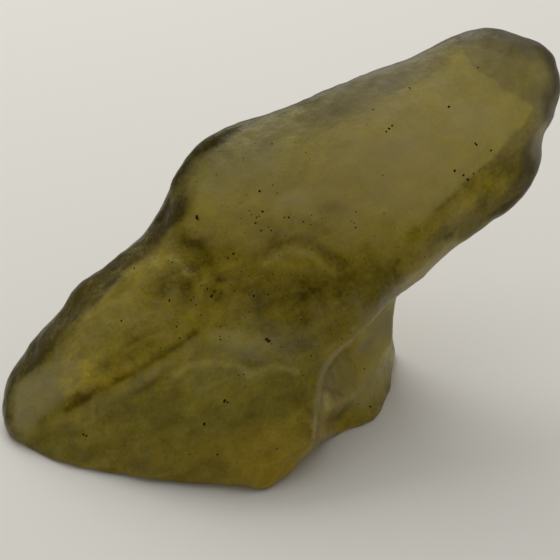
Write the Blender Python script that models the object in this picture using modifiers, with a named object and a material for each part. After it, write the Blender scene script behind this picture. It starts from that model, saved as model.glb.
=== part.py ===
"""A wind-worn piece of Libyan desert glass, standing on a front lobe and a rear foot.

Metres, +Z up, with the origin under the middle of the stone. The stone is lofted along its long axis
in a frame that leans back with its broad face, and then hollowed by rounded scoops.
"""

import math

import bmesh
import bpy
import numpy as np
from mathutils import Euler, Matrix, Vector

MM = 0.001

# The broad face leans back, and the long axis climbs to the right across it. The leaning frame's middle
# stands above the ground.
LEAN = math.radians(34)
CLIMB = math.radians(40)
GROUND = -11.96

# Each section across the long axis: its place along the axis, and then its rim (across, proud) in mm,
# from the upper edge down the front face to the lower edge, and back up behind.
LEFT_END = (-22.2, 4.0, -4.6)
RIGHT_END = (25.1, 0.1, -3.4)
SECTIONS = [
    (-21.4, [(5.8, -5.7), (5.5, -4.9), (5.0, -4.3), (4.5, -3.9), (4.0, -3.7), (3.5, -3.5), (3.0, -3.4),
             (2.5, -3.4), (1.9, -3.6), (2.5, -4.2), (3.4, -5.2), (4.4, -6.2), (5.4, -6.6)]),
    (-19.8, [(7.1, -6.3), (6.6, -5.2), (5.6, -4.3), (4.6, -3.5), (3.6, -3.1), (2.6, -2.6), (1.4, -2.2),
             (0.3, -1.9), (-0.65, -1.8), (0.6, -3.2), (2.8, -5.8), (4.8, -8.0), (6.6, -8.4)]),
    (-17.5, [(8.0, -6.4), (7.4, -5.0), (6.1, -3.8), (4.4, -2.7), (3.0, -2.4), (1.7, -1.8), (-0.1, -1.2),
             (-1.8, -0.9), (-3.0, -1.3), (-1.0, -3.6), (2.0, -7.0), (4.8, -10.1), (7.0, -9.8)]),
    (-14.5, [(8.4, -6.3), (7.7, -4.6), (6.2, -2.9), (3.9, -1.6), (2.3, -1.4), (0.9, -0.7), (-1.8, 0.1),
             (-4.4, 0.3), (-6.25, -0.45), (-3.5, -3.6), (0.5, -8.1), (4.0, -12.1), (7.2, -10.8)]),
    (-11.6, [(9.0, -6.0), (8.2, -4.3), (6.2, -2.2), (3.5, -0.7), (1.9, -0.7), (0.5, 0.2), (-2.6, 1.1),
             (-6.2, 1.1), (-8.85, -0.4), (-5.0, -4.6), (-0.5, -9.7), (3.5, -13.0), (7.5, -11.5)]),
    (-10.1, [(8.9, -5.8), (8.1, -4.0), (6.1, -1.8), (3.3, -0.3), (1.6, -0.3), (0.1, 0.8), (-3.2, 1.6),
             (-7.5, 1.5), (-10.4, 0.0), (-6.2, -4.7), (-1.2, -10.2), (3.2, -13.4), (7.4, -11.5)]),
    (-8.6, [(8.8, -5.5), (8.0, -3.7), (6.0, -1.5), (3.2, 0.1), (1.3, 0.0), (-0.5, 1.2), (-4.0, 2.0),
            (-8.8, 1.4), (-10.8, -1.0), (-7.0, -5.2), (-2.0, -10.9), (3.0, -13.8), (7.3, -11.5)]),
    (-6.3, [(8.8, -5.0), (8.0, -3.3), (6.1, -1.0), (3.5, 0.6), (1.3, 0.3), (-1.4, 1.6), (-5.2, 2.1),
            (-9.8, 1.0), (-10.6, -3.3), (-7.4, -6.9), (-2.5, -12.0), (2.9, -13.8), (7.3, -11.1)]),
    (-5.3, [(8.9, -4.8), (8.1, -3.1), (6.1, -0.8), (3.6, 0.7), (0.9, 0.1), (-2.2, 1.6), (-5.9, 1.9),
            (-9.7, 0.9), (-10.2, -4.5), (-7.4, -7.8), (-2.5, -12.5), (2.9, -13.7), (7.4, -11.0)]),
    (-4.6, [(9.0, -4.6), (8.2, -3.0), (6.2, -0.7), (3.7, 0.8), (0.6, 0.0), (-2.9, 1.6), (-6.4, 1.8),
            (-9.8, 0.6), (-10.8, -4.9), (-7.5, -8.7), (-2.5, -12.9), (2.9, -13.7), (7.4, -10.9)]),
    (-3.6, [(9.3, -4.3), (8.4, -2.9), (6.4, -1.2), (3.8, -0.2), (0.2, -0.1), (-3.8, 1.6), (-8.3, 1.4),
            (-10.0, -4.1), (-11.3, -5.1), (-7.5, -9.7), (-2.5, -13.2), (2.9, -13.6), (7.6, -10.7)]),
    (-1.8, [(10.0, -3.9), (9.2, -2.3), (7.0, -0.7), (4.0, 0.0), (-0.5, -0.1), (-4.9, 1.4), (-7.8, 0.9),
            (-10.3, -5.1), (-11.95, -6.1), (-8.0, -10.9), (-2.6, -13.5), (3.0, -13.4), (7.9, -10.3)]),
    (0.6, [(10.8, -3.4), (10.0, -1.8), (7.7, -0.2), (4.0, 0.5), (-0.5, 0.2), (-4.8, 1.0), (-7.6, 0.2),
           (-10.1, -7.4), (-11.75, -8.5), (-8.6, -12.3), (-3.0, -13.6), (3.0, -13.0), (8.2, -9.8)]),
    (3.5, [(10.8, -3.0), (9.9, -1.3), (7.3, 0.2), (4.0, 0.6), (0.0, 0.5), (-3.5, 0.5), (-6.4, -0.2),
           (-9.7, -11.0), (-11.2, -12.3), (-6.8, -14.3), (-1.5, -13.3), (3.5, -12.2), (8.3, -9.0)]),
    (7.0, [(9.5, -2.8), (8.7, -1.2), (6.3, 0.1), (3.5, 0.6), (0.5, 0.7), (-2.2, 0.5), (-4.7, -0.2),
           (-6.2, -1.8), (-6.8, -4.2), (-5.5, -9.5), (-1.5, -11.7), (3.2, -10.8), (7.4, -8.0)]),
    (11.0, [(8.1, -2.5), (7.4, -1.0), (5.3, 0.0), (3.0, 0.6), (0.4, 0.7), (-2.0, 0.3), (-4.2, -0.5),
            (-5.7, -1.7), (-6.15, -3.4), (-5.0, -6.8), (-1.5, -9.2), (2.6, -9.0), (6.3, -6.6)]),
    (15.5, [(6.5, -2.3), (5.8, -1.1), (4.1, -0.2), (2.2, 0.3), (0.2, 0.4), (-1.8, 0.1), (-4.1, -0.7),
            (-5.9, -1.8), (-6.65, -3.2), (-5.2, -5.8), (-1.8, -7.7), (1.8, -7.6), (5.0, -5.6)]),
    (18.5, [(5.8, -2.5), (5.2, -1.4), (3.8, -0.7), (2.0, -0.3), (0.2, -0.3), (-1.6, -0.5), (-3.6, -1.1),
            (-5.2, -1.9), (-6.0, -3.2), (-4.8, -5.2), (-2.0, -6.9), (1.6, -6.9), (4.6, -5.1)]),
    (20.6, [(5.4, -2.9), (4.9, -1.9), (3.7, -1.2), (2.2, -0.8), (0.5, -0.7), (-1.0, -0.8), (-2.8, -1.2),
            (-3.9, -1.9), (-4.4, -3.1), (-3.7, -4.9), (-1.8, -6.5), (1.6, -6.5), (4.3, -5.0)]),
    (22.8, [(4.2, -3.2), (3.8, -2.5), (2.9, -1.9), (1.8, -1.6), (0.6, -1.5), (-0.5, -1.6), (-1.8, -1.9),
            (-2.8, -2.4), (-3.3, -3.3), (-2.8, -4.4), (-1.2, -5.4), (1.2, -5.4), (3.2, -4.6)]),
    (24.3, [(2.0, -3.4), (1.8, -2.9), (1.3, -2.6), (0.8, -2.4), (0.2, -2.4), (-0.4, -2.4), (-1.0, -2.6),
            (-1.6, -2.9), (-1.9, -3.4), (-1.6, -3.9), (-0.6, -4.3), (0.6, -4.3), (1.5, -4.0)]),
]
RIM_STEPS = 5
LENGTH_STEPS = 5

# Rounded scoops, worn out of the stone: centre and radii in mm, and turn in degrees. The first three stand
# upright and are measured above the ground, and the others lie along the leaning frame.
UPRIGHT_SCOOPS = {
    "bowl": ((9.6, -2.5, 6.0), (8.4, 6.6, 4.15), (0, -3, 62)),
    "right_hollow": ((16.8, 8.0, 4.9), (9.8, 13.0, 8.3), (0, -60, 0)),
    "under_hollow": ((-6.5, 4.5, -1.2), (9.0, 6.0, 3.2), (0, 0, 12)),
}
LEANING_SCOOPS = {
    "slab_back": ((14.0, 2.0, -13.4), (16.0, 18.0, 6.0), (0, -15.5, 0)),
    "left_back": ((-9.0, 10.5, -21.5), (13.0, 10.5, 11.5), (0, 0, 10)),
    "low_back": ((-11.0, -1.0, -20.5), (12.0, 9.0, 12.0), (0, 0, 15)),
}

# The surface is remade in small cells, softened, and then thinned to this share of its faces.
CELL = 0.3
SOFTEN_STEPS = 4
KEPT_FACES = 0.132
SETTLE_STEPS = 2

# Shallow lumps all over, as wide as LUMP_WIDTH.
LUMP_DEPTH = 0.35
LUMP_WIDTH = 4.5

# The ground, which leaves the stone the flats that it stands on.
GROUND_SIZE = 80
GROUND_THICKNESS = 20

# The middle of the stone's bounding box in the leaning frame's own place, which becomes the origin.
MIDDLE_X = -0.122
MIDDLE_Y = 2.54

OLIVE = (0.114, 0.098, 0.021, 1.0)
FROSTED = 0.35


def smooth_through(points, steps, closed):
    """A smooth curve through the given points, with the given number of steps between two of them."""
    points = np.array(points, float)
    count = len(points)
    curve = []
    for i in range(count if closed else count - 1):
        if closed:
            a, b, c, d = (points[(i + k) % count] for k in (-1, 0, 1, 2))
        else:
            a, b, c, d = (points[min(max(i + k, 0), count - 1)] for k in (-1, 0, 1, 2))
        for k in range(steps):
            x = k / steps
            curve.append(0.5 * (2 * b + (c - a) * x + (2 * a - 5 * b + 4 * c - d) * x**2
                                + (3 * b - a - 3 * c + d) * x**3))
    if not closed:
        curve.append(points[-1])
    return np.array(curve)


def stone_point(along, across, proud):
    """A point of the leaning frame, in mm from the origin."""
    right = along * math.cos(CLIMB) - across * math.sin(CLIMB)
    up = along * math.sin(CLIMB) + across * math.cos(CLIMB)
    return Vector((
        right - MIDDLE_X,
        up * math.sin(LEAN) - proud * math.cos(LEAN) - MIDDLE_Y,
        up * math.cos(LEAN) + proud * math.sin(LEAN) - GROUND,
    ))


def new_object(name, body, collection):
    """An object made from the given bmesh, which is freed."""
    mesh = bpy.data.meshes.new(name)
    body.to_mesh(mesh)
    body.free()
    piece = bpy.data.objects.new(name, mesh)
    collection.objects.link(piece)
    return piece


def new_cutter(name, body, collection):
    cutter = new_object(name, body, collection)
    cutter.display_type = "WIRE"
    cutter.hide_render = True
    return cutter


def cut_away(stone, cutter):
    cut = stone.modifiers.new(cutter.name, "BOOLEAN")
    cut.operation = "DIFFERENCE"
    cut.solver = "EXACT"
    cut.object = cutter


def loft(name, collection):
    """The whole stone before it is hollowed, as a skin through its sections."""
    rings = [[(along, *point) for point in smooth_through(rim, RIM_STEPS, closed=True)]
             for along, rim in SECTIONS]
    around = len(rings[0])
    rings = [[LEFT_END] * around] + rings + [[RIGHT_END] * around]
    lines = [smooth_through([ring[i] for ring in rings], LENGTH_STEPS, closed=False) for i in range(around)]
    body = bmesh.new()
    start = body.verts.new(stone_point(*LEFT_END) * MM)
    finish = body.verts.new(stone_point(*RIGHT_END) * MM)
    rows = []
    for step in range(1, len(lines[0]) - 1):
        rows.append([body.verts.new(stone_point(*line[step]) * MM) for line in lines])
    for row, following in zip(rows, rows[1:]):
        for i in range(around):
            k = (i + 1) % around
            body.faces.new((row[i], row[k], following[k], following[i]))
    for i in range(around):
        k = (i + 1) % around
        body.faces.new((start, rows[0][k], rows[0][i]))
        body.faces.new((finish, rows[-1][i], rows[-1][k]))
    bmesh.ops.recalc_face_normals(body, faces=body.faces)
    return new_object(name, body, collection)


def scoop(name, centre, radii, turn, frame, collection):
    """A rounded cutter, placed and turned in the given frame."""
    ball = bmesh.new()
    bmesh.ops.create_uvsphere(ball, u_segments=48, v_segments=32, radius=1)
    place = Matrix.LocRotScale(
        Vector(centre) * MM,
        Euler([math.radians(angle) for angle in turn]),
        Vector(radii) * MM,
    )
    ball.transform(frame @ place)
    return new_cutter(name, ball, collection)


def ground(name, collection):
    block = bmesh.new()
    bmesh.ops.create_cube(block, size=1)
    centre = Vector((0, 0, -GROUND_THICKNESS / 2)) * MM
    size = Vector((GROUND_SIZE, GROUND_SIZE, GROUND_THICKNESS)) * MM
    block.transform(Matrix.LocRotScale(centre, None, size))
    return new_cutter(name, block, collection)


def clear_scene():
    for piece in list(bpy.data.objects):
        bpy.data.objects.remove(piece)


def new_collection(name):
    collection = bpy.data.collections.new(name)
    bpy.context.scene.collection.children.link(collection)
    return collection


def glass():
    material = bpy.data.materials.new("olive_glass")
    material.use_nodes = True
    surface = material.node_tree.nodes["Principled BSDF"]
    surface.inputs["Base Color"].default_value = OLIVE
    surface.inputs["Roughness"].default_value = FROSTED
    surface.inputs["Metallic"].default_value = 0
    return material


def main():
    clear_scene()
    stone_parts = new_collection("libyan_desert_glass")
    cutters = new_collection("cutters")
    stone = loft("desert_glass", stone_parts)
    stone.data.materials.append(glass())

    upright = Matrix.Translation(Vector((-MIDDLE_X, -MIDDLE_Y, 0)) * MM)
    leaning = (Matrix.Translation(stone_point(0, 0, 0) * MM) @ Matrix.Rotation(math.pi / 2 - LEAN, 4, "X")
               @ Matrix.Rotation(CLIMB, 4, "Z"))
    for frame, scoops in ((upright, UPRIGHT_SCOOPS), (leaning, LEANING_SCOOPS)):
        for name, (centre, radii, turn) in scoops.items():
            cut_away(stone, scoop(name, centre, radii, turn, frame, cutters))

    fuse = stone.modifiers.new("fuse", "REMESH")
    fuse.mode = "VOXEL"
    fuse.voxel_size = CELL * MM
    fuse.use_smooth_shade = True
    soften = stone.modifiers.new("soften", "SMOOTH")
    soften.factor = 0.5
    soften.iterations = SOFTEN_STEPS

    lumps = bpy.data.textures.new("lumps", "CLOUDS")
    lumps.noise_scale = LUMP_WIDTH * MM
    lumps.noise_depth = 1
    dimple = stone.modifiers.new("dimple", "DISPLACE")
    dimple.texture = lumps
    dimple.texture_coords = "LOCAL"
    dimple.strength = LUMP_DEPTH * MM
    dimple.mid_level = 0.5

    thin = stone.modifiers.new("thin", "DECIMATE")
    thin.ratio = KEPT_FACES
    settle = stone.modifiers.new("settle", "SMOOTH")
    settle.factor = 0.3
    settle.iterations = SETTLE_STEPS
    cut_away(stone, ground("ground", cutters))


main()
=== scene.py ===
import math

import bmesh
import bpy
import numpy as np
from mathutils import Matrix, Vector, noise


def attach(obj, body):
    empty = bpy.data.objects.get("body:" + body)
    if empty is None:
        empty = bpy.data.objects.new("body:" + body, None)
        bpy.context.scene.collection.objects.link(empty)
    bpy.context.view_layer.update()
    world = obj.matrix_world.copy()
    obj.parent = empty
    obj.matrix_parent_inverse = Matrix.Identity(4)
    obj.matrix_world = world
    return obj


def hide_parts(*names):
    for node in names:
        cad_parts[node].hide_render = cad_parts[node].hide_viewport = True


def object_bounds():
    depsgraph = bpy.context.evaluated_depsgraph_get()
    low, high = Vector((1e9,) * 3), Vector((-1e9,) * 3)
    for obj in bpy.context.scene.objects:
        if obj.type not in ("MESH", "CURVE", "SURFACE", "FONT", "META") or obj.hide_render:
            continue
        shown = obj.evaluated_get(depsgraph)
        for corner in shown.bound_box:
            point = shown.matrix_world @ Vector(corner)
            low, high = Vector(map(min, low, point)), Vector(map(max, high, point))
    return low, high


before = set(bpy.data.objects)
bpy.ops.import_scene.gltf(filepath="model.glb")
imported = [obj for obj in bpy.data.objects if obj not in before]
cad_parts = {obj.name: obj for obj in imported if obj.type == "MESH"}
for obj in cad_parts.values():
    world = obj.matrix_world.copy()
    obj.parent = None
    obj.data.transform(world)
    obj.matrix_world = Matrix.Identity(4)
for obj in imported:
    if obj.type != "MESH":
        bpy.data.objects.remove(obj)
cad_low, cad_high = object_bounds()

MM = 0.001

# The camera looks down at the broad face, at the stone's middle, from this far.
CAMERA_HEIGHT = math.radians(34)
CAMERA_AWAY = 116.8
CAMERA_LENS = 109.3
CAMERA_SENSOR = 36
MIDDLE = np.array([0.122, -2.54, 11.96])

# The broad face's own directions: to the right, up, and out of it towards the camera.
RIGHT = np.array([1, 0, 0])
UP = np.array([0, math.sin(CAMERA_HEIGHT), math.cos(CAMERA_HEIGHT)])
OUT = np.array([0, -math.cos(CAMERA_HEIGHT), math.sin(CAMERA_HEIGHT)])
EYE = MIDDLE + OUT * CAMERA_AWAY

# The glass: its dark, light and frosted skin, its sheen, and the colour that light takes on its way through.
# The glass's own tone and the painted light and shade mix between the dark and light tints, and the frosted
# tint also paints sheen.
DARK_TINT = (0.075, 0.055, 0.001, 1)
LIGHT_TINT = (0.73, 0.615, 0.105, 1)
FROST_TINT = (0.54, 0.49, 0.4, 1)
SHEEN_TINT = (0.35, 0.3, 0.08, 1)
DEPTH_COLOUR = (0.862, 0.83, 0.2, 1)
DEPTH_DENSITY = 500
CLEAR_ROUGHNESS = 0.3
FROSTED_ROUGHNESS = 0.5

# How far mottles, grain and streaks lighten and darken the glass, and ripples change its frosting.
MOTTLING = 0.7
GRAIN = 0.6
STREAKING = 0.7
RIPPLING = 0.3

# The streaks' slope on the broad face, and how far they are drawn out each way.
STREAK_TURN = math.radians(-25)
STREAK_STRETCH = (2.6, 1, 0.8)

# The plain glass, before any mark: how light it is, from 0 to 1, and how frosted.
PLAIN_SHADE = 0.5
PLAIN_FROST = 0.06

# Unevenness of the shape, the shade and the frosting, in layers: how much, how wide its lumps are in mm,
# and a seed, which moves the noise by so many of these steps.
SEED_STEPS = (7.3, 3.1, 5.7)
DIMPLES = [(0.1, 1.9, 1), (0.05, 0.8, 2)]
CLOUDS = [(0.12, 3.0, 3), (0.12, 1.2, 4)]
HAZE = [(0.12, 2.2, 5), (0.1, 0.7, 6)]

# Places on the broad face are in mm, right of its middle and above it.

# Crisp edges: the right end of the window of painted light through the thin slab, the nose's edge, and the
# lobe's right edge.
WINDOW_EDGE = [
    (12.6, 15.7), (13.5, 14.4), (14.8, 13.7), (15.3, 13.1), (16.2, 12.7), (17.4, 11.9), (16.7, 10.6),
    (15.9, 10.0), (15.3, 9.3), (14.8, 8.5), (14.0, 7.9), (12.4, 6.5),
]
NOSE_EDGE = [(-7.4, 1.8), (-6.2, 0.8), (-5.3, -0.2), (-5.2, -1.2), (-5.9, -3.6)]
LOBE_EDGE = [(4.8, -4.2), (3.6, -5.2), (3.0, -6.1), (2.7, -7.0), (2.5, -8.3), (2.4, -9.8), (2.3, -10.8)]

# How far from a crisp edge the faces are made smaller.
REFINED_WIDTH = 0.25

# Soft oval patches: how much they lighten the glass and frost it, and then middle, size and turn. Besides
# the glass's own tone, many paint light and shade: light through the thin slab, shade in hollows and at the
# rims, sheen where faces turn up.
PATCHES = {
    # Painted shade over the recessed band of the broad face.
    "dark band": (-0.36, -0.1, (2.8, -0.4), (8.5, 1.9), 8),
    # Painted light through the thin slab, duller low in the window.
    "duller lower window": (-0.15, 0, (11.0, 6.2), (1.8, 1.2), 40),
    "dark end of the shelf": (-0.2, -0.05, (4.0, -3.4), (1.6, 1.0), 10),
    # Painted shade at the rim, where the face turns away from the camera.
    "darkest rim": (-0.5, -0.1, (-6.8, 5.1), (0.7, 1.9), -34),
    # Painted light through the thinner glass at the shoulder.
    "light shoulder": (0.5, 0.15, (-4.9, 6.3), (1.6, 1.9), 0),
    "light middle": (0.2, 0.1, (1.8, 6.0), (2.5, 1.0), 30),
    "light cloud": (0.2, 0.15, (0.5, 8.2), (2.6, 1.2), 15),
    # Painted shade in the hollow by the curl.
    "hollow by the curl": (-0.32, 0, (3.9, 5.0), (1.0, 0.5), -15),
    # Painted light through the thin slab, duller in the window's middle.
    "dull middle of the window": (-0.15, 0, (8.0, 8.8), (2.2, 0.9), 25),
    "brown under the window": (0.2, 0.15, (12.3, 4.3), (1.8, 1.2), 40),
    # Painted shade under the slab.
    "dark under the slab": (-0.1, 0, (4.4, -1.5), (3.5, 0.9), 5),
    # Painted light on the lens, a facet that turns up to the light.
    "bright lens": (0.02, 0, (-10.3, 0.2), (2.0, 0.8), 35),
    "shadow by the lens": (-0.32, 0, (-7.9, -0.2), (1.9, 0.8), 40),
    # Painted shade that takes the glow out of the corner.
    "shade over the corner's glow": (-0.45, 0, (-14.0, -8.1), (0.9, 0.9), 0),
    # Painted shade above the crease.
    "above the crease": (-0.3, 0, (-10.9, -5.3), (2.8, 0.8), 33),
    "yellow patch": (-0.14, 0.08, (-9.6, -2.9), (3.7, 1.4), 25),
    # Painted shade over the nose.
    "nose": (-0.45, -0.1, (-6.3, 0.0), (0.9, 1.5), -20),
    # Painted shade beside the dark rim.
    "upper left of the left face": (-0.3, 0, (-12.4, -0.8), (1.6, 0.8), 40),
    # Painted light through the thinner glass under the rim.
    "light under the rim": (0.35, 0.15, (-1.0, 9.6), (3.0, 1.0), 25),
    # Painted shadow in the valley behind the nose.
    "dark behind the nose": (-0.32, 0, (-5.4, 2.3), (1.9, 0.8), -15),
    # Painted sheen on the shelf, which faces up.
    "sheen on the middle of the shelf": (0.05, 0.15, (-1.7, -4.4), (1.6, 0.9), 0),
    "lens under the arc": (0.2, 0.05, (1.0, 0.8), (1.9, 0.7), 0),
    "lobe mottles": (0.05, 0.05, (-4.9, -7.4), (3.3, 1.5), 10),
    # Painted glow of light through the thick lobe.
    "painted glow in the lobe": (0.14, -0.3, (-2.8, -10.6), (6.0, 2.4), 0),
    # Painted light through the thinner glass below the rim and at the top.
    "painted light below the rim": (0.33, 0.25, (-2.4, 7.2), (3.2, 2.8), 35),
    "painted light at the top": (0.3, 0.25, (5.8, 12.4), (4.8, 1.8), 28),
    # Painted light and shade on the foot's bowl: its upturned side lit and frosted paler, its other side
    # less lit.
    "lit side of the foot": (0.5, 0.22, (6.4, -5.6), (1.9, 2.6), 0),
    "shaded side of the foot": (0.2, 0.1, (4.0, -6.8), (1.2, 1.2), 0),
    "dark facet at the waist": (-0.5, 0, (7.8, -4.5), (0.3, 0.7), 25),
    # Painted sheen on the waist, which faces up.
    "sheen on the waist": (0.3, 0.7, (6.6, -3.6), (1.0, 1.4), -35),
    # Painted light on the slab's lower side, lit from the floor below.
    "lower side of the slab": (0.2, 0.05, (15.2, 6.2), (1.2, 1.0), 40),
    "cloudy centre": (0.02, 0.14, (-1.7, 3.4), (2.5, 1.5), 0),
    # Painted light through the thin slab, brighter at the window's end.
    "bright end of the window": (0.12, 0.12, (13.5, 10.8), (2.5, 1.6), 40),
    "lighter spot in the band": (0.2, 0, (2.3, -0.3), (1.0, 0.5), 0),
    # Painted light through the thin slab: the window itself.
    "window": (0.3, 0.3, (9.5, 9.5), (6.5, 3.6), 40),
    "pale chip": (0.8, 2.5, (17.9, 9.5), (0.4, 1.0), -15),
}

# Soft lines, likewise, with a width and the points that they run through. Many paint shade at the rims and
# in creases, and highlights along edges and curls.
LINES = {
    # Painted shade along the rims, where the skin turns away from the camera.
    "left end's dark rim": (-0.4, -0.1, 0.25, [(-18.9, -9.5), (-18.8, -8.0), (-18.1, -6.0)]),
    "dark rim": (-0.5, -0.1, 1.1, [
        (-18.0, -5.6), (-15.1, -1.9), (-12.5, 0.4), (-9.8, 2.9), (-7.8, 6.0), (-6.1, 8.7), (-4.4, 9.9),
    ]),
    "thin dark rim": (-0.5, -0.1, 0.5, [
        (-5.5, 9.4), (-1.4, 11.3), (4.9, 13.6), (10.7, 16.1), (12.6, 17.2), (15.0, 17.2), (18.4, 15.7),
    ]),
    # Painted shade along the left face's upper rim.
    "left face's upper side": (-0.45, -0.1, 0.8, [
        (-17.3, -6.0), (-16.2, -4.4), (-14.6, -2.4), (-12.9, -0.3), (-11.0, 1.3), (-9.0, 2.9),
    ]),
    # Painted shade in the crease.
    "crease": (-0.35, -0.15, 0.3, [
        (-5.9, -3.6), (-7.0, -4.4), (-8.9, -5.7), (-10.9, -6.7), (-12.8, -7.8), (-14.6, -8.9),
    ]),
    "shade above the crease": (-0.15, 0, 0.5, [(-7.3, -4.0), (-9.2, -5.3), (-13.1, -7.3)]),
    # Painted shade along the bevel's lower edge.
    "bevel's lower edge": (-0.15, -0.1, 0.25, [(-7.0, -5.6), (-8.9, -7.2), (-10.3, -8.0), (-12.0, -9.7)]),
    # Painted highlight along the nose's edge.
    "highlight on the nose's edge": (0.15, 0.03, 0.3, [
        (-7.5, 1.4), (-6.5, 0.5), (-5.7, -0.4), (-5.6, -1.3), (-6.0, -2.6),
    ]),
    "shade beyond the nose": (-0.2, -0.1, 0.5, [(-6.4, 2.9), (-5.1, 1.8), (-4.4, 0.3), (-4.3, -1.0)]),
    "lobe's pale arc": (0.32, 0.15, 0.25, [
        (-7.2, -6.6), (-6.4, -6.0), (-5.1, -5.7), (-3.0, -5.8), (-2.1, -6.4),
    ]),
    "lobe's second arc": (0.27, 0.12, 0.25, [(-2.2, -6.6), (-0.6, -5.9), (1.2, -6.3)]),
    "lens streak": (0.12, 0.1, 0.25, [(-12.0, -1.0), (-10.6, 0.4), (-8.8, 1.6)]),
    "lower lens streak": (0.05, 0.1, 0.25, [(-11.4, -1.6), (-10.0, -0.5), (-8.6, 0.4)]),
    # Painted highlights along the small curl and the arc, which are also raised.
    "small curl": (0.22, 0.15, 0.3, [(-0.3, 4.5), (0.3, 5.5), (1.4, 5.7), (1.8, 5.3)]),
    "arc": (0.3, 0.12, 0.3, [(-1.1, 1.0), (0.1, 1.8), (1.2, 2.0), (2.2, 1.7), (3.7, 0.4)]),
    "shade above the arc": (-0.26, -0.05, 0.4, [
        (-1.8, 1.7), (-0.1, 2.6), (1.4, 2.8), (2.8, 2.3), (4.4, 1.2),
    ]),
    # Painted highlight along the curl's lower lip, which is also raised.
    "curl's lower lip": (0.35, 0.15, 0.25, [(0.5, 5.3), (1.6, 4.9), (2.4, 4.3)]),
    # Painted highlight, a thin bright line along the lobe's edge.
    "highlight on the lobe's edge": (0.5, 0.5, 0.14, LOBE_EDGE),
    # Painted shade along the tip's rim.
    "tip's dark edge": (-0.25, -0.1, 0.35, [
        (16.5, 16.9), (18.4, 15.7), (19.2, 14.2), (19.0, 12.0), (17.9, 9.6), (18.0, 8.1), (16.9, 5.8),
        (14.6, 4.3),
    ]),
    # Painted sheen along the waist's edge.
    "sheen along the waist's edge": (0.3, 0.6, 0.2, [
        (12.0, 2.4), (10.3, 1.1), (8.6, -0.6), (7.6, -2.0), (6.5, -3.7), (5.5, -4.9),
    ]),
    # Painted light on the slab's lower side, lit from the floor below.
    "slab's lower side": (0, 0.3, 0.7, [(11.0, 2.1), (8.4, -0.7), (7.1, -2.7)]),
    # Painted shade on the toe's wall below the slab, and painted light on the toe's upturned edge.
    "toe wall": (-0.2, 0, 0.8, [(2.5, -10.1), (4.6, -9.9), (6.4, -9.3), (7.7, -7.9), (8.0, -6.5)]),
    "toe's upper edge": (0.2, 0.15, 0.5, [(3.0, -8.6), (5.0, -8.3), (6.5, -7.6), (7.2, -6.6)]),
    # Painted shade in the groove of the foot.
    "groove in the foot": (-0.2, 0, 0.12, [(3.0, -7.4), (4.3, -7.9)]),
    # Frosted streaks that run down from the waist, painted as highlights.
    "left streak": (0, 0.2, 0.12, [(7.4, -3.4), (5.8, -6.2)]),
    "middle streak": (0, 0.2, 0.1, [(7.4, -3.4), (6.5, -6.3)]),
    "right streak": (0, 0.2, 0.12, [(7.4, -3.4), (7.1, -6.5)]),
}

# The shelf below the nose and the bevel that runs on from it, frosted paler as painted sheen because they
# face up to the light.
SHELF = [
    (-5.9, -3.6), (-5.2, -1.9), (-3.4, -2.1), (-2.2, -2.2), (-0.8, -2.6), (1.0, -3.0), (3.4, -3.6),
    (3.1, -4.5), (1.5, -5.2), (1.0, -5.6), (-1.6, -5.6), (-3.4, -5.5), (-7.0, -5.6), (-8.9, -7.2),
    (-10.3, -8.0), (-12.0, -9.7), (-15.4, -10.7), (-16.5, -10.0), (-12.8, -7.8), (-10.9, -6.7),
    (-8.9, -5.7), (-7.0, -4.4),
]

# The face at the left end, lightened and frosted paler as painted sheen where it faces up, and the clearer
# one above the crease, lightened as painted light where it turns to the light.
LEFT_END = [
    (-18.1, -7.4), (-17.0, -6.1), (-13.9, -5.2), (-13.5, -7.2), (-15.8, -8.8), (-17.2, -10.3),
    (-18.3, -10.3),
]
LEFT_FACE = NOSE_EDGE + [
    (-7.0, -4.4), (-8.9, -5.7), (-10.9, -6.7), (-12.8, -7.8), (-13.5, -7.2), (-13.9, -5.2),
    (-15.0, -3.6), (-12.0, -1.0), (-9.0, 1.2),
]

# How many smoothing passes soften an area's edge.
CRISP = 2
SOFT = 6
SOFTER = 8

# Areas with an outline: how much they lighten the glass and frost it, and then outline and edge.
AREAS = {
    # Painted sheen on the shelf and bevel, which face up.
    "shelf": (0, 0.05, SHELF, CRISP),
    # Painted sheen on the left end, and painted light on the left face, which turn up to the light.
    "left end": (0.38, 0.35, LEFT_END, SOFT),
    "left face": (0.12, 0, LEFT_FACE, CRISP),
}

# The end and lower side of the slab, painted shade darker than the window of painted light that this outline
# cuts across.
BEYOND_WINDOW = WINDOW_EDGE + [
    (10.3, 4.5), (7.9, 2.7), (7.0, -2.0), (25.0, -2.0), (25.0, 22.0), (11.5, 22.0), (11.8, 17.0),
]

# Painted light and shade that come in slowly over the right half: shade beyond the window, and paler
# frosting over the window and the tip; how much, and between which places to the right or up.
BEYOND_DARKER = 0.49
BEYOND_DARKER_UP = (-1, 9)
WINDOW_FROST = 0.35
WINDOW_FROST_RIGHT = (-6, 8)
WINDOW_FROST_UP = (1, 6)
TIP_FROST = 0.24
TIP_FROST_UP = (6, 12)
SIDE_FROST = 0.1
SIDE_FROST_UP = (6, 10)

# Skin that faces the camera counts as 1 and skin that faces away as -1: between these the marks come in.
FACING = (-0.45, 0.05)

# The foot, whose worn rims are softer than the lobe's.
FOOT = [
    (4.9, -4.6), (3.6, -5.8), (3.0, -7.0), (2.8, -8.4), (2.7, -10.4), (2.2, -11.5), (10.0, -11.5),
    (10.6, -3.0), (11.5, 0.5), (9.6, -0.4), (7.8, -2.0), (6.5, -3.3),
]

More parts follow.
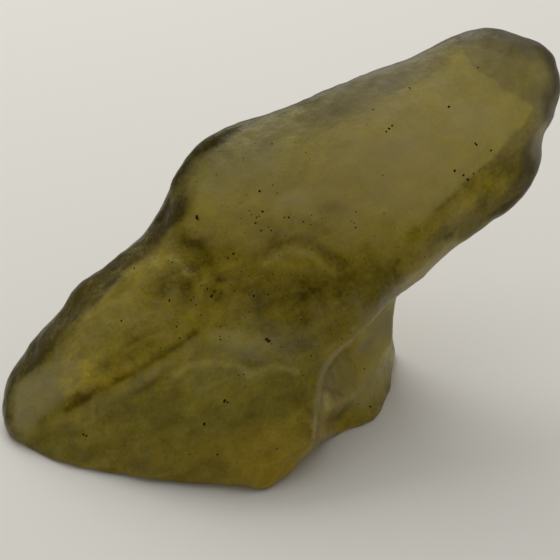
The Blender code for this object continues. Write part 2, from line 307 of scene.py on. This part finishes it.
# Other rounded places: lines with their width, and patches.
NOSE_RIDGE = ([(-9.0, 1.6), (-6.4, 1.2), (-5.3, -1.6), (-6.5, -4.2)], 2.5)
CREASE_BED = ([(-6.5, -4.2), (-10.4, -6.4), (-14.5, -8.6)], 1.2)
HEEL = ((7.8, -6.2), (1.6, 2.2))
OVERHANG = ((9.2, -0.9), (1.8, 1.6))

# How many smoothing passes round each of them, and the edges near the ground.
FOOT_PASSES = 80
RIDGE_PASSES = 200
HEEL_PASSES = 200
OVERHANG_PASSES = 150
GROUND_EDGE_PASSES = 50

# Heights in mm between which the wear comes in above the flats.
OFF_GROUND = (0.05, 0.5)

# Heights in mm between which the rounding of the lowest edges ends.
GROUND_EDGE = (0.6, 1.6)

# The foot's toe stands out further, by this much in mm.
TOE = ((6.9, -9.3), (1.1, 1.1))
TOE_BULGE = np.array([0.425, -0.25, 0])

# Raised lines, each along the painted line of its name: height and width.
RAISED_LINES = {
    "small curl": (0.1, 0.4),
    "curl's lower lip": (0.08, 0.4),
    "arc": (0.1, 0.5),
}

# Raised and hollow patches: height, middle, size and turn.
RAISED_PATCHES = {
    "heel": (0.4, (8.0, -7.0), (0.9, 1.2), 0),
    "back of the heel": (0.3, (8.0, -4.8), (0.5, 0.6), 0),
    "hollow under the overhang": (-0.25, (9.3, -0.8), (1.2, 1.0), 40),
    "chip": (-0.1, (18.2, 9.5), (0.5, 1.0), -15),
}

# Corners of the solid nearer to each other than this are merged, and this share of its triangles is kept,
# so that the worn copy, subdivided twice, stays under 200,000.
MERGE_DISTANCE = 0.001
KEPT_SHARE = 0.86

# Dark specks and pits on the broad face: place and radius.
SPECKS = [
    (-5.7, 4.3, 0.17), (-1.4, 6.1, 0.12), (-1.2, 4.7, 0.1), (-1.6, 4.3, 0.08), (-1.7, 3.9, 0.08),
    (-1.3, 3.4, 0.08), (-3.2, 1.8, 0.1), (-3.6, 1.5, 0.07), (-4.7, -1.1, 0.13), (-5.0, -0.6, 0.07),
    (-4.5, -0.8, 0.07), (-4.1, -0.9, 0.06), (-6.1, -1.4, 0.07), (-5.8, -1.7, 0.06), (-7.6, -1.4, 0.1),
    (-7.1, -3.2, 0.08), (-6.9, -4.0, 0.09), (-4.1, -4.1, 0.09), (-0.9, -4.1, 0.16),
    (-0.75, -4.2, 0.14), (-4.1, -3.2, 0.07), (-1.8, -1.1, 0.1), (-0.8, -1.0, 0.08), (0.5, -1.1, 0.07),
    (-10.0, 0.8, 0.08), (-7.4, 1.2, 0.08), (-2.1, -2.2, 0.07), (-10.9, -2.8, 0.1), (0.3, 4.3, 0.08),
    (0.6, 4.3, 0.08), (-0.6, 3.4, 0.07), (-3.8, -8.3, 0.13), (-3.6, -8.4, 0.1), (-5.2, -9.9, 0.13),
    (-2.5, -6.5, 0.07), (-4.3, -12.0, 0.08), (-0.2, -11.6, 0.08), (-13.5, -10.6, 0.12),
    (-13.3, -10.7, 0.1), (5.8, -6.1, 0.08), (6.2, -8.7, 0.1), (5.4, -8.5, 0.08), (12.0, 7.5, 0.11),
    (12.6, 7.2, 0.1), (13.3, 7.3, 0.09), (12.9, 6.9, 0.12), (14.5, 8.9, 0.09), (13.5, 9.3, 0.1),
    (13.4, 9.4, 0.09), (11.6, 11.9, 0.1), (7.5, 10.4, 0.1), (7.7, 10.6, 0.09), (7.3, 10.2, 0.08),
    (8.9, 13.2, 0.08), (6.4, 11.7, 0.08), (5.2, 3.6, 0.07), (1.6, 4.0, 0.07), (2.1, 3.8, 0.06),
    (13.6, 14.6, 0.08),
]

# More specks, smaller, scattered by chance about a middle, and their least and greatest radius.
SPECK_SEED = 4
SCATTERED_SPECKS = 150
SCATTER_MIDDLE = (-1.5, 0.5)
SCATTER_SPREAD = (6, 5)
SCATTER_RADII = (0.03, 0.06)

# A speck's grain: its size as a share of that radius, and its depth and greatest length for its width.
GRAIN_SHARE = 0.75
GRAIN_DEPTH = 0.5
GRAIN_LENGTH = 1.5

# The colour of the specks, and the floor and the sky of the room, with the sky's strength.
SPECK_COLOUR = (0.025, 0.019, 0.005, 1)
FLOOR_COLOUR = (0.7, 0.672, 0.61, 1)
FLOOR_WIDTH = 4000
SKY_COLOUR = (0.97, 0.98, 1.0, 1)
SKY_STRENGTH = 0.37


class Value:
    """A shader socket that takes part in arithmetic, each operation adding its Math node."""

    def __init__(self, shader, socket):
        self.shader = shader
        self.socket = socket

    def maths(self, operation, first, second):
        return self.shader.add("ShaderNodeMath", {"operation": operation}, {0: first, 1: second})

    def __add__(self, other):
        return self.maths("ADD", self, other)

    def __sub__(self, other):
        return self.maths("SUBTRACT", self, other)

    def __rsub__(self, other):
        return self.maths("SUBTRACT", other, self)

    def __mul__(self, other):
        return self.maths("MULTIPLY", self, other)

    __radd__ = __add__
    __rmul__ = __mul__


class Shader:
    """The nodes of one material."""

    def __init__(self, name):
        self.material = bpy.data.materials.new(name)
        self.material.use_nodes = True
        self.tree = self.material.node_tree
        self.tree.nodes.clear()

    def add(self, kind, settings=None, inputs=None, output=0):
        """One node, its settings made first and its sockets then given values or links."""
        node = self.tree.nodes.new(kind)
        for key, value in (settings or {}).items():
            setattr(node, key, value)
        for key, value in (inputs or {}).items():
            if isinstance(value, Value):
                self.tree.links.new(value.socket, node.inputs[key])
            else:
                node.inputs[key].default_value = value
        return Value(self, node.outputs[output]) if len(node.outputs) else None

    def attribute(self, name):
        return self.add("ShaderNodeAttribute", {"attribute_name": name}, output="Fac")

    def lumps(self, spot, lumps_a_mm, detail, roughness, distortion=0):
        """Noise with so many lumps to a mm."""
        return self.add("ShaderNodeTexNoise", inputs={
            "Vector": spot,
            "Scale": lumps_a_mm / MM,
            "Detail": detail,
            "Roughness": roughness,
            "Distortion": distortion,
        })

    def mix(self, factor, first, second):
        """One colour mixed into another: they go in at sockets 6 and 7, and the mix comes out at 2."""
        return self.add("ShaderNodeMix", {"data_type": "RGBA"}, {
            "Factor": factor,
            6: first,
            7: second,
        }, output=2)

    def bump(self, height, strength, distance, **onto):
        """Bumps so many mm deep, laid over others where their Normal is given."""
        return self.add("ShaderNodeBump", inputs={
            "Height": height,
            "Strength": strength,
            "Distance": distance * MM,
            **onto,
        })


def desert_glass():
    """Clouded olive glass, deeper in colour where it is thicker."""
    glass = Shader("desert_glass")
    spot = glass.add("ShaderNodeTexCoord", output="Object")
    mottle = glass.lumps(spot, 0.8, detail=5, roughness=0.62, distortion=0.6)
    grain = glass.lumps(spot, 4, detail=3, roughness=0.7)
    ripple = glass.lumps(spot, 1.3, detail=4, roughness=0.6)
    flow = glass.add("ShaderNodeMapping", {"vector_type": "TEXTURE"}, {
        "Vector": spot,
        "Rotation": (0, STREAK_TURN, 0),
        "Scale": STREAK_STRETCH,
    })
    streaks = glass.lumps(flow, 0.7, detail=4, roughness=0.55, distortion=0.8)
    # The shade attribute holds the glass's own tone and painted light and shade.
    shade = glass.attribute("shade")
    shade = shade + (mottle - 0.5) * MOTTLING + (grain - 0.5) * GRAIN + (streaks - 0.5) * STREAKING
    # The frosting attribute holds real frosting and painted sheen where faces turn up to the light.
    frost_and_sheen = glass.attribute("frost_and_sheen") + (ripple - 0.5) * RIPPLING
    tint = glass.mix(frost_and_sheen, glass.mix(shade, DARK_TINT, LIGHT_TINT), FROST_TINT)
    worn = glass.bump(ripple, strength=0.5, distance=0.2)
    frosted = glass.bump(grain, strength=0.25, distance=0.05, Normal=worn)
    body = glass.add("ShaderNodeBsdfPrincipled", inputs={
        "Base Color": tint,
        "Roughness": frost_and_sheen * (FROSTED_ROUGHNESS - CLEAR_ROUGHNESS) + CLEAR_ROUGHNESS,
        "IOR": 1.46,
        "Specular IOR Level": 0.12,
        "Specular Tint": SHEEN_TINT,
        "Transmission Weight": 0.72,
        "Normal": frosted,
    })
    depth = glass.add("ShaderNodeVolumeAbsorption", inputs={"Color": DEPTH_COLOUR, "Density": DEPTH_DENSITY})
    glass.add("ShaderNodeOutputMaterial", inputs={"Surface": body, "Volume": depth})
    return glass.material


def plain(name, colour, roughness, sheen=0.5):
    """A finish of one colour."""
    finish = Shader(name)
    body = finish.add("ShaderNodeBsdfPrincipled", inputs={
        "Base Color": colour,
        "Roughness": roughness,
        "Specular IOR Level": sheen,
    })
    finish.add("ShaderNodeOutputMaterial", inputs={"Surface": body})
    return finish.material


def select_only(piece):
    bpy.ops.object.select_all(action="DESELECT")
    piece.select_set(True)
    bpy.context.view_layer.objects.active = piece


def apply_modifier(piece, kind, **settings):
    modifier = piece.modifiers.new(kind.lower(), kind)
    for key, value in settings.items():
        setattr(modifier, key, value)
    select_only(piece)
    bpy.ops.object.modifier_apply(modifier=modifier.name)


def places(piece):
    """The piece's vertices in mm."""
    points = np.empty(len(piece.data.vertices) * 3, np.float32)
    piece.data.vertices.foreach_get("co", points)
    return points.reshape(-1, 3).astype(float) / MM


def move_to(piece, points):
    piece.data.vertices.foreach_set("co", (points * MM).astype(np.float32).ravel())
    piece.data.update()


def directions(piece):
    """The piece's vertex normals."""
    normals = np.empty(len(piece.data.vertices) * 3, np.float32)
    piece.data.vertices.foreach_get("normal", normals)
    return normals.reshape(-1, 3).astype(float)


def edges_of(piece):
    """The two vertices of each of the piece's edges."""
    ends = np.empty(len(piece.data.edges) * 2, np.int32)
    piece.data.edges.foreach_get("vertices", ends)
    return ends.reshape(-1, 2)


def paint(piece, name, values):
    attribute = piece.data.attributes.new(name, "FLOAT", "POINT")
    attribute.data.foreach_set("value", values.astype(np.float32))


def face_places(points):
    """Where points in mm lie as the camera sees the broad face: right of its middle, and above it."""
    from_middle = points - MIDDLE
    nearer = CAMERA_AWAY / (CAMERA_AWAY - from_middle @ OUT)
    return np.stack([from_middle @ RIGHT * nearer, from_middle @ UP * nearer], axis=1)


def smooth_step(values, low, high):
    """A share that grows smoothly from 0 at the low value to 1 at the high one."""
    share = np.clip((values - low) / (high - low), 0, 1)
    return share * share * (3 - 2 * share)


def blur(values, edges, passes):
    """Values of the vertices, evened out with their neighbours' so many times."""
    count = len(values)
    start, finish = edges.T
    neighbours = np.bincount(edges.ravel(), minlength=count)
    flat = values.reshape(count, -1).copy()
    for _ in range(passes):
        around = np.stack([
            np.bincount(start, column[finish], count) + np.bincount(finish, column[start], count)
            for column in flat.T
        ], axis=1)
        flat = (flat + around / neighbours[:, None]) / 2
    return flat.reshape(values.shape)


def rounded(points, edges, passes, share):
    """Points evened out so many times, by a share of the way for each."""
    return points + (blur(points, edges, passes) - points) * share[:, None]


def line_distance(spots, path):
    """How far spots lie from a line through the path's points."""
    nearest = np.full(len(spots), np.inf)
    for start, finish in zip(np.array(path[:-1], float), np.array(path[1:], float)):
        run = finish - start
        share = np.clip((spots - start) @ run / (run @ run), 0, 1)
        nearest = np.minimum(nearest, np.linalg.norm(spots - start - share[:, None] * run, axis=1))
    return nearest


def inside(spots, outline):
    """Which spots lie inside a closed outline."""
    right, up = spots.T
    within = np.zeros(len(spots), bool)
    for (x1, y1), (x2, y2) in zip(outline, outline[1:] + outline[:1]):
        if y1 != y2:
            crosses = (y1 > up) != (y2 > up)
            within ^= crosses & (right < (x2 - x1) * (up - y1) / (y2 - y1) + x1)
    return within


def soft_patch(spots, middle, size, turn=0):
    """A soft oval patch of the broad face, 1 in its middle."""
    across, along = math.cos(math.radians(turn)), math.sin(math.radians(turn))
    x, y = (spots - middle).T
    return np.exp(-((x * across + y * along) / size[0])**2 - ((y * across - x * along) / size[1])**2)


def soft_line(spots, path, width):
    """A soft line on the broad face, 1 along its middle."""
    return np.exp(-(line_distance(spots, path) / width)**2)


def soft_area(spots, outline, passes, edges):
    """The area within an outline, 1 inside it, its edge softened by so many passes."""
    return blur(inside(spots, outline).astype(float), edges, passes)


def lumps(points, layers):
    """Smooth noise in layers, each with how much of it, how wide its lumps are and a seed."""
    total = np.zeros(len(points))
    for amount, width, seed in layers:
        shift = Vector([seed * step for step in SEED_STEPS])
        total += amount * np.array([noise.noise(Vector(point) / width + shift) for point in points])
    return total


def stone_copy():
    """The solid stone as one smooth, finer skin."""
    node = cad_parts["desert_glass"]
    stone = node.copy()
    stone.data = node.data.copy()
    stone.name = "worn_stone"
    stone.parent = None
    bpy.context.scene.collection.objects.link(stone)
    select_only(stone)
    bpy.ops.object.mode_set(mode="EDIT")
    bpy.ops.mesh.select_all(action="SELECT")
    bpy.ops.mesh.remove_doubles(threshold=MERGE_DISTANCE * MM)
    bpy.ops.object.mode_set(mode="OBJECT")
    stone.data.materials.clear()
    apply_modifier(stone, "DECIMATE", ratio=KEPT_SHARE)
    apply_modifier(stone, "SUBSURF", levels=2, render_levels=2)
    apply_modifier(stone, "TRIANGULATE")
    bpy.ops.object.shade_smooth()
    return stone


def wear(stone):
    """The wind's work on the skin: rounded ridges and foot, dimples all over, curls and a chip."""
    points = places(stone)
    edges = edges_of(stone)
    spots = face_places(points)
    off_ground = smooth_step(points[:, 2], *OFF_GROUND)
    foot = soft_area(spots, FOOT, SOFTER, edges) * off_ground
    points = rounded(points, edges, FOOT_PASSES, foot)
    ridges = np.maximum(soft_line(spots, *NOSE_RIDGE), soft_line(spots, *CREASE_BED))
    points = rounded(points, edges, RIDGE_PASSES, ridges * off_ground)
    points = rounded(points, edges, HEEL_PASSES, soft_patch(spots, *HEEL) * off_ground)
    points = rounded(points, edges, OVERHANG_PASSES, soft_patch(spots, *OVERHANG))
    points += soft_patch(spots, *TOE)[:, None] * TOE_BULGE
    points = rounded(points, edges, GROUND_EDGE_PASSES, 1 - smooth_step(points[:, 2], *GROUND_EDGE))
    move_to(stone, points)
    relief = lumps(points, DIMPLES)
    for name, (height, width) in RAISED_LINES.items():
        *_, path = LINES[name]
        relief += height * soft_line(spots, path, width)
    for height, *place in RAISED_PATCHES.values():
        relief += height * soft_patch(spots, *place)
    points += directions(stone) * (relief * off_ground)[:, None]
    move_to(stone, np.clip(points, np.array(cad_low) / MM, np.array(cad_high) / MM))


def refine(stone):
    """Smaller faces along the crisp edges of the broad face, so that they can be painted."""
    body = bmesh.new()
    body.from_mesh(stone.data)
    spots = face_places(places(stone))
    distances = [line_distance(spots, path) for path in (WINDOW_EDGE, NOSE_EDGE, LOBE_EDGE)]
    near = np.min(distances, axis=0) < REFINED_WIDTH
    near &= directions(stone) @ OUT > 0
    body.verts.ensure_lookup_table()
    edges = [edge for edge in body.edges if near[edge.verts[0].index] and near[edge.verts[1].index]]
    bmesh.ops.subdivide_edges(body, edges=edges, cuts=1, use_grid_fill=True)
    bmesh.ops.triangulate(body, faces=body.faces)
    body.to_mesh(stone.data)
    body.free()
    stone.data.shade_smooth()


def paint_stone(stone):
    """Lighter and darker glass, and more and less frosted skin: the glass's own tone, with painted light
    through the thin slab, painted shade in creases and hollows and at the rims, and painted sheen and
    highlights where faces turn up.
    """
    points = places(stone)
    edges = edges_of(stone)
    spots = face_places(points)
    right, up = spots.T
    shade = np.zeros(len(points))
    frost_and_sheen = np.zeros(len(points))
    for lighter, more_frost_and_sheen, middle, size, turn in PATCHES.values():
        here = soft_patch(spots, middle, size, turn)
        shade += lighter * here
        frost_and_sheen += more_frost_and_sheen * here
    for lighter, more_frost_and_sheen, width, path in LINES.values():
        here = soft_line(spots, path, width)
        shade += lighter * here
        frost_and_sheen += more_frost_and_sheen * here
    for lighter, more_frost_and_sheen, outline, edge in AREAS.values():
        here = soft_area(spots, outline, edge, edges)
        shade += lighter * here
        frost_and_sheen += more_frost_and_sheen * here
    # Painted shade beyond the window, and paler frosting that paints the light in the window and at the tip.
    beyond = soft_area(spots, BEYOND_WINDOW, CRISP, edges)
    shade -= BEYOND_DARKER * beyond * smooth_step(up, *BEYOND_DARKER_UP)
    window = smooth_step(right, *WINDOW_FROST_RIGHT) * smooth_step(up, *WINDOW_FROST_UP)
    frost_and_sheen += WINDOW_FROST * window * (1 - beyond)
    frost_and_sheen += TIP_FROST * beyond * smooth_step(up, *TIP_FROST_UP)
    frost_and_sheen += SIDE_FROST * beyond * smooth_step(up, *SIDE_FROST_UP)
    seen = smooth_step(directions(stone) @ OUT, *FACING)
    paint(stone, "shade", np.clip(PLAIN_SHADE + lumps(points, CLOUDS) + shade * seen, 0, 1))
    paint(stone, "frost_and_sheen", np.clip(PLAIN_FROST + lumps(points, HAZE) + frost_and_sheen * seen, 0, 1))


def specks(stone):
    """Dark specks and pits, each a flattened grain sunk into the face."""
    chance = np.random.default_rng(SPECK_SEED)
    spots = list(SPECKS)
    for _ in range(SCATTERED_SPECKS):
        right = chance.normal(SCATTER_MIDDLE[0], SCATTER_SPREAD[0])
        up = chance.normal(SCATTER_MIDDLE[1], SCATTER_SPREAD[1])
        spots.append((right, up, chance.uniform(*SCATTER_RADII)))
    body = bmesh.new()
    for right, up, radius in spots:
        sight = MIDDLE + RIGHT * right + UP * up - EYE
        hit, place, normal, _ = stone.ray_cast(Vector(EYE * MM), Vector(sight).normalized())
        if not hit:
            continue
        spin = Matrix.Rotation(chance.uniform(0, 6), 4, "Z")
        turn = normal.to_track_quat("Z", "Y").to_matrix().to_4x4() @ spin
        length = radius * chance.uniform(1, GRAIN_LENGTH)
        size = Vector((length, radius, radius * GRAIN_DEPTH)) * MM * GRAIN_SHARE
        grain = Matrix.Translation(place) @ turn @ Matrix.Diagonal(size).to_4x4()
        bmesh.ops.create_icosphere(body, subdivisions=2, radius=1, matrix=grain)
    mesh = bpy.data.meshes.new("dark_specks")
    body.to_mesh(mesh)
    body.free()
    grains = bpy.data.objects.new("dark_specks", mesh)
    bpy.context.scene.collection.objects.link(grains)
    mesh.materials.append(plain("dark_grain", SPECK_COLOUR, roughness=0.8, sheen=0.05))
    return grains


def soft_lamp(name, place, width, watts):
    """A square lamp that faces the stone, its place and width in metres."""
    lamp = bpy.data.lights.new(name, "AREA")
    lamp.shape = "SQUARE"
    lamp.size = width
    lamp.energy = watts
    light = bpy.data.objects.new(name, lamp)
    light.location = place
    light.rotation_euler = Vector(place).to_track_quat("Z", "Y").to_euler()
    bpy.context.scene.collection.objects.link(light)


def studio():
    """A pale floor in a dim, even room, with a wide lamp above and a small one at the left rear."""
    bpy.ops.mesh.primitive_plane_add(size=FLOOR_WIDTH * MM)
    floor = bpy.context.object
    floor.name = "floor"
    floor.data.materials.append(plain("pale_floor", FLOOR_COLOUR, roughness=0.9))
    world = bpy.data.worlds.new("room")
    bpy.context.scene.world = world
    world.use_nodes = True
    sky = world.node_tree.nodes["Background"]
    sky.inputs["Color"].default_value = SKY_COLOUR
    sky.inputs["Strength"].default_value = SKY_STRENGTH
    soft_lamp("ceiling", (0.0, 0.3, 0.7), width=1.2, watts=3.1)
    soft_lamp("window", (-0.075, 0.19, 0.215), width=0.2, watts=0.36)


def camera():
    """The eye that sees the broad face straight on."""
    lens = bpy.data.cameras.new("camera")
    lens.lens = CAMERA_LENS
    lens.sensor_width = CAMERA_SENSOR
    lens.clip_start = 1 * MM
    eye = bpy.data.objects.new("camera", lens)
    eye.location = EYE * MM
    eye.rotation_euler = Vector(OUT).to_track_quat("Z", "Y").to_euler()
    bpy.context.scene.collection.objects.link(eye)
    bpy.context.scene.camera = eye


stone = stone_copy()
wear(stone)
refine(stone)
paint_stone(stone)
stone.data.materials.append(desert_glass())
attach(stone, "root")
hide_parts("desert_glass")
grains = specks(stone)
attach(grains, "root")
studio()
camera()
bpy.context.scene.view_settings.view_transform = "Standard"
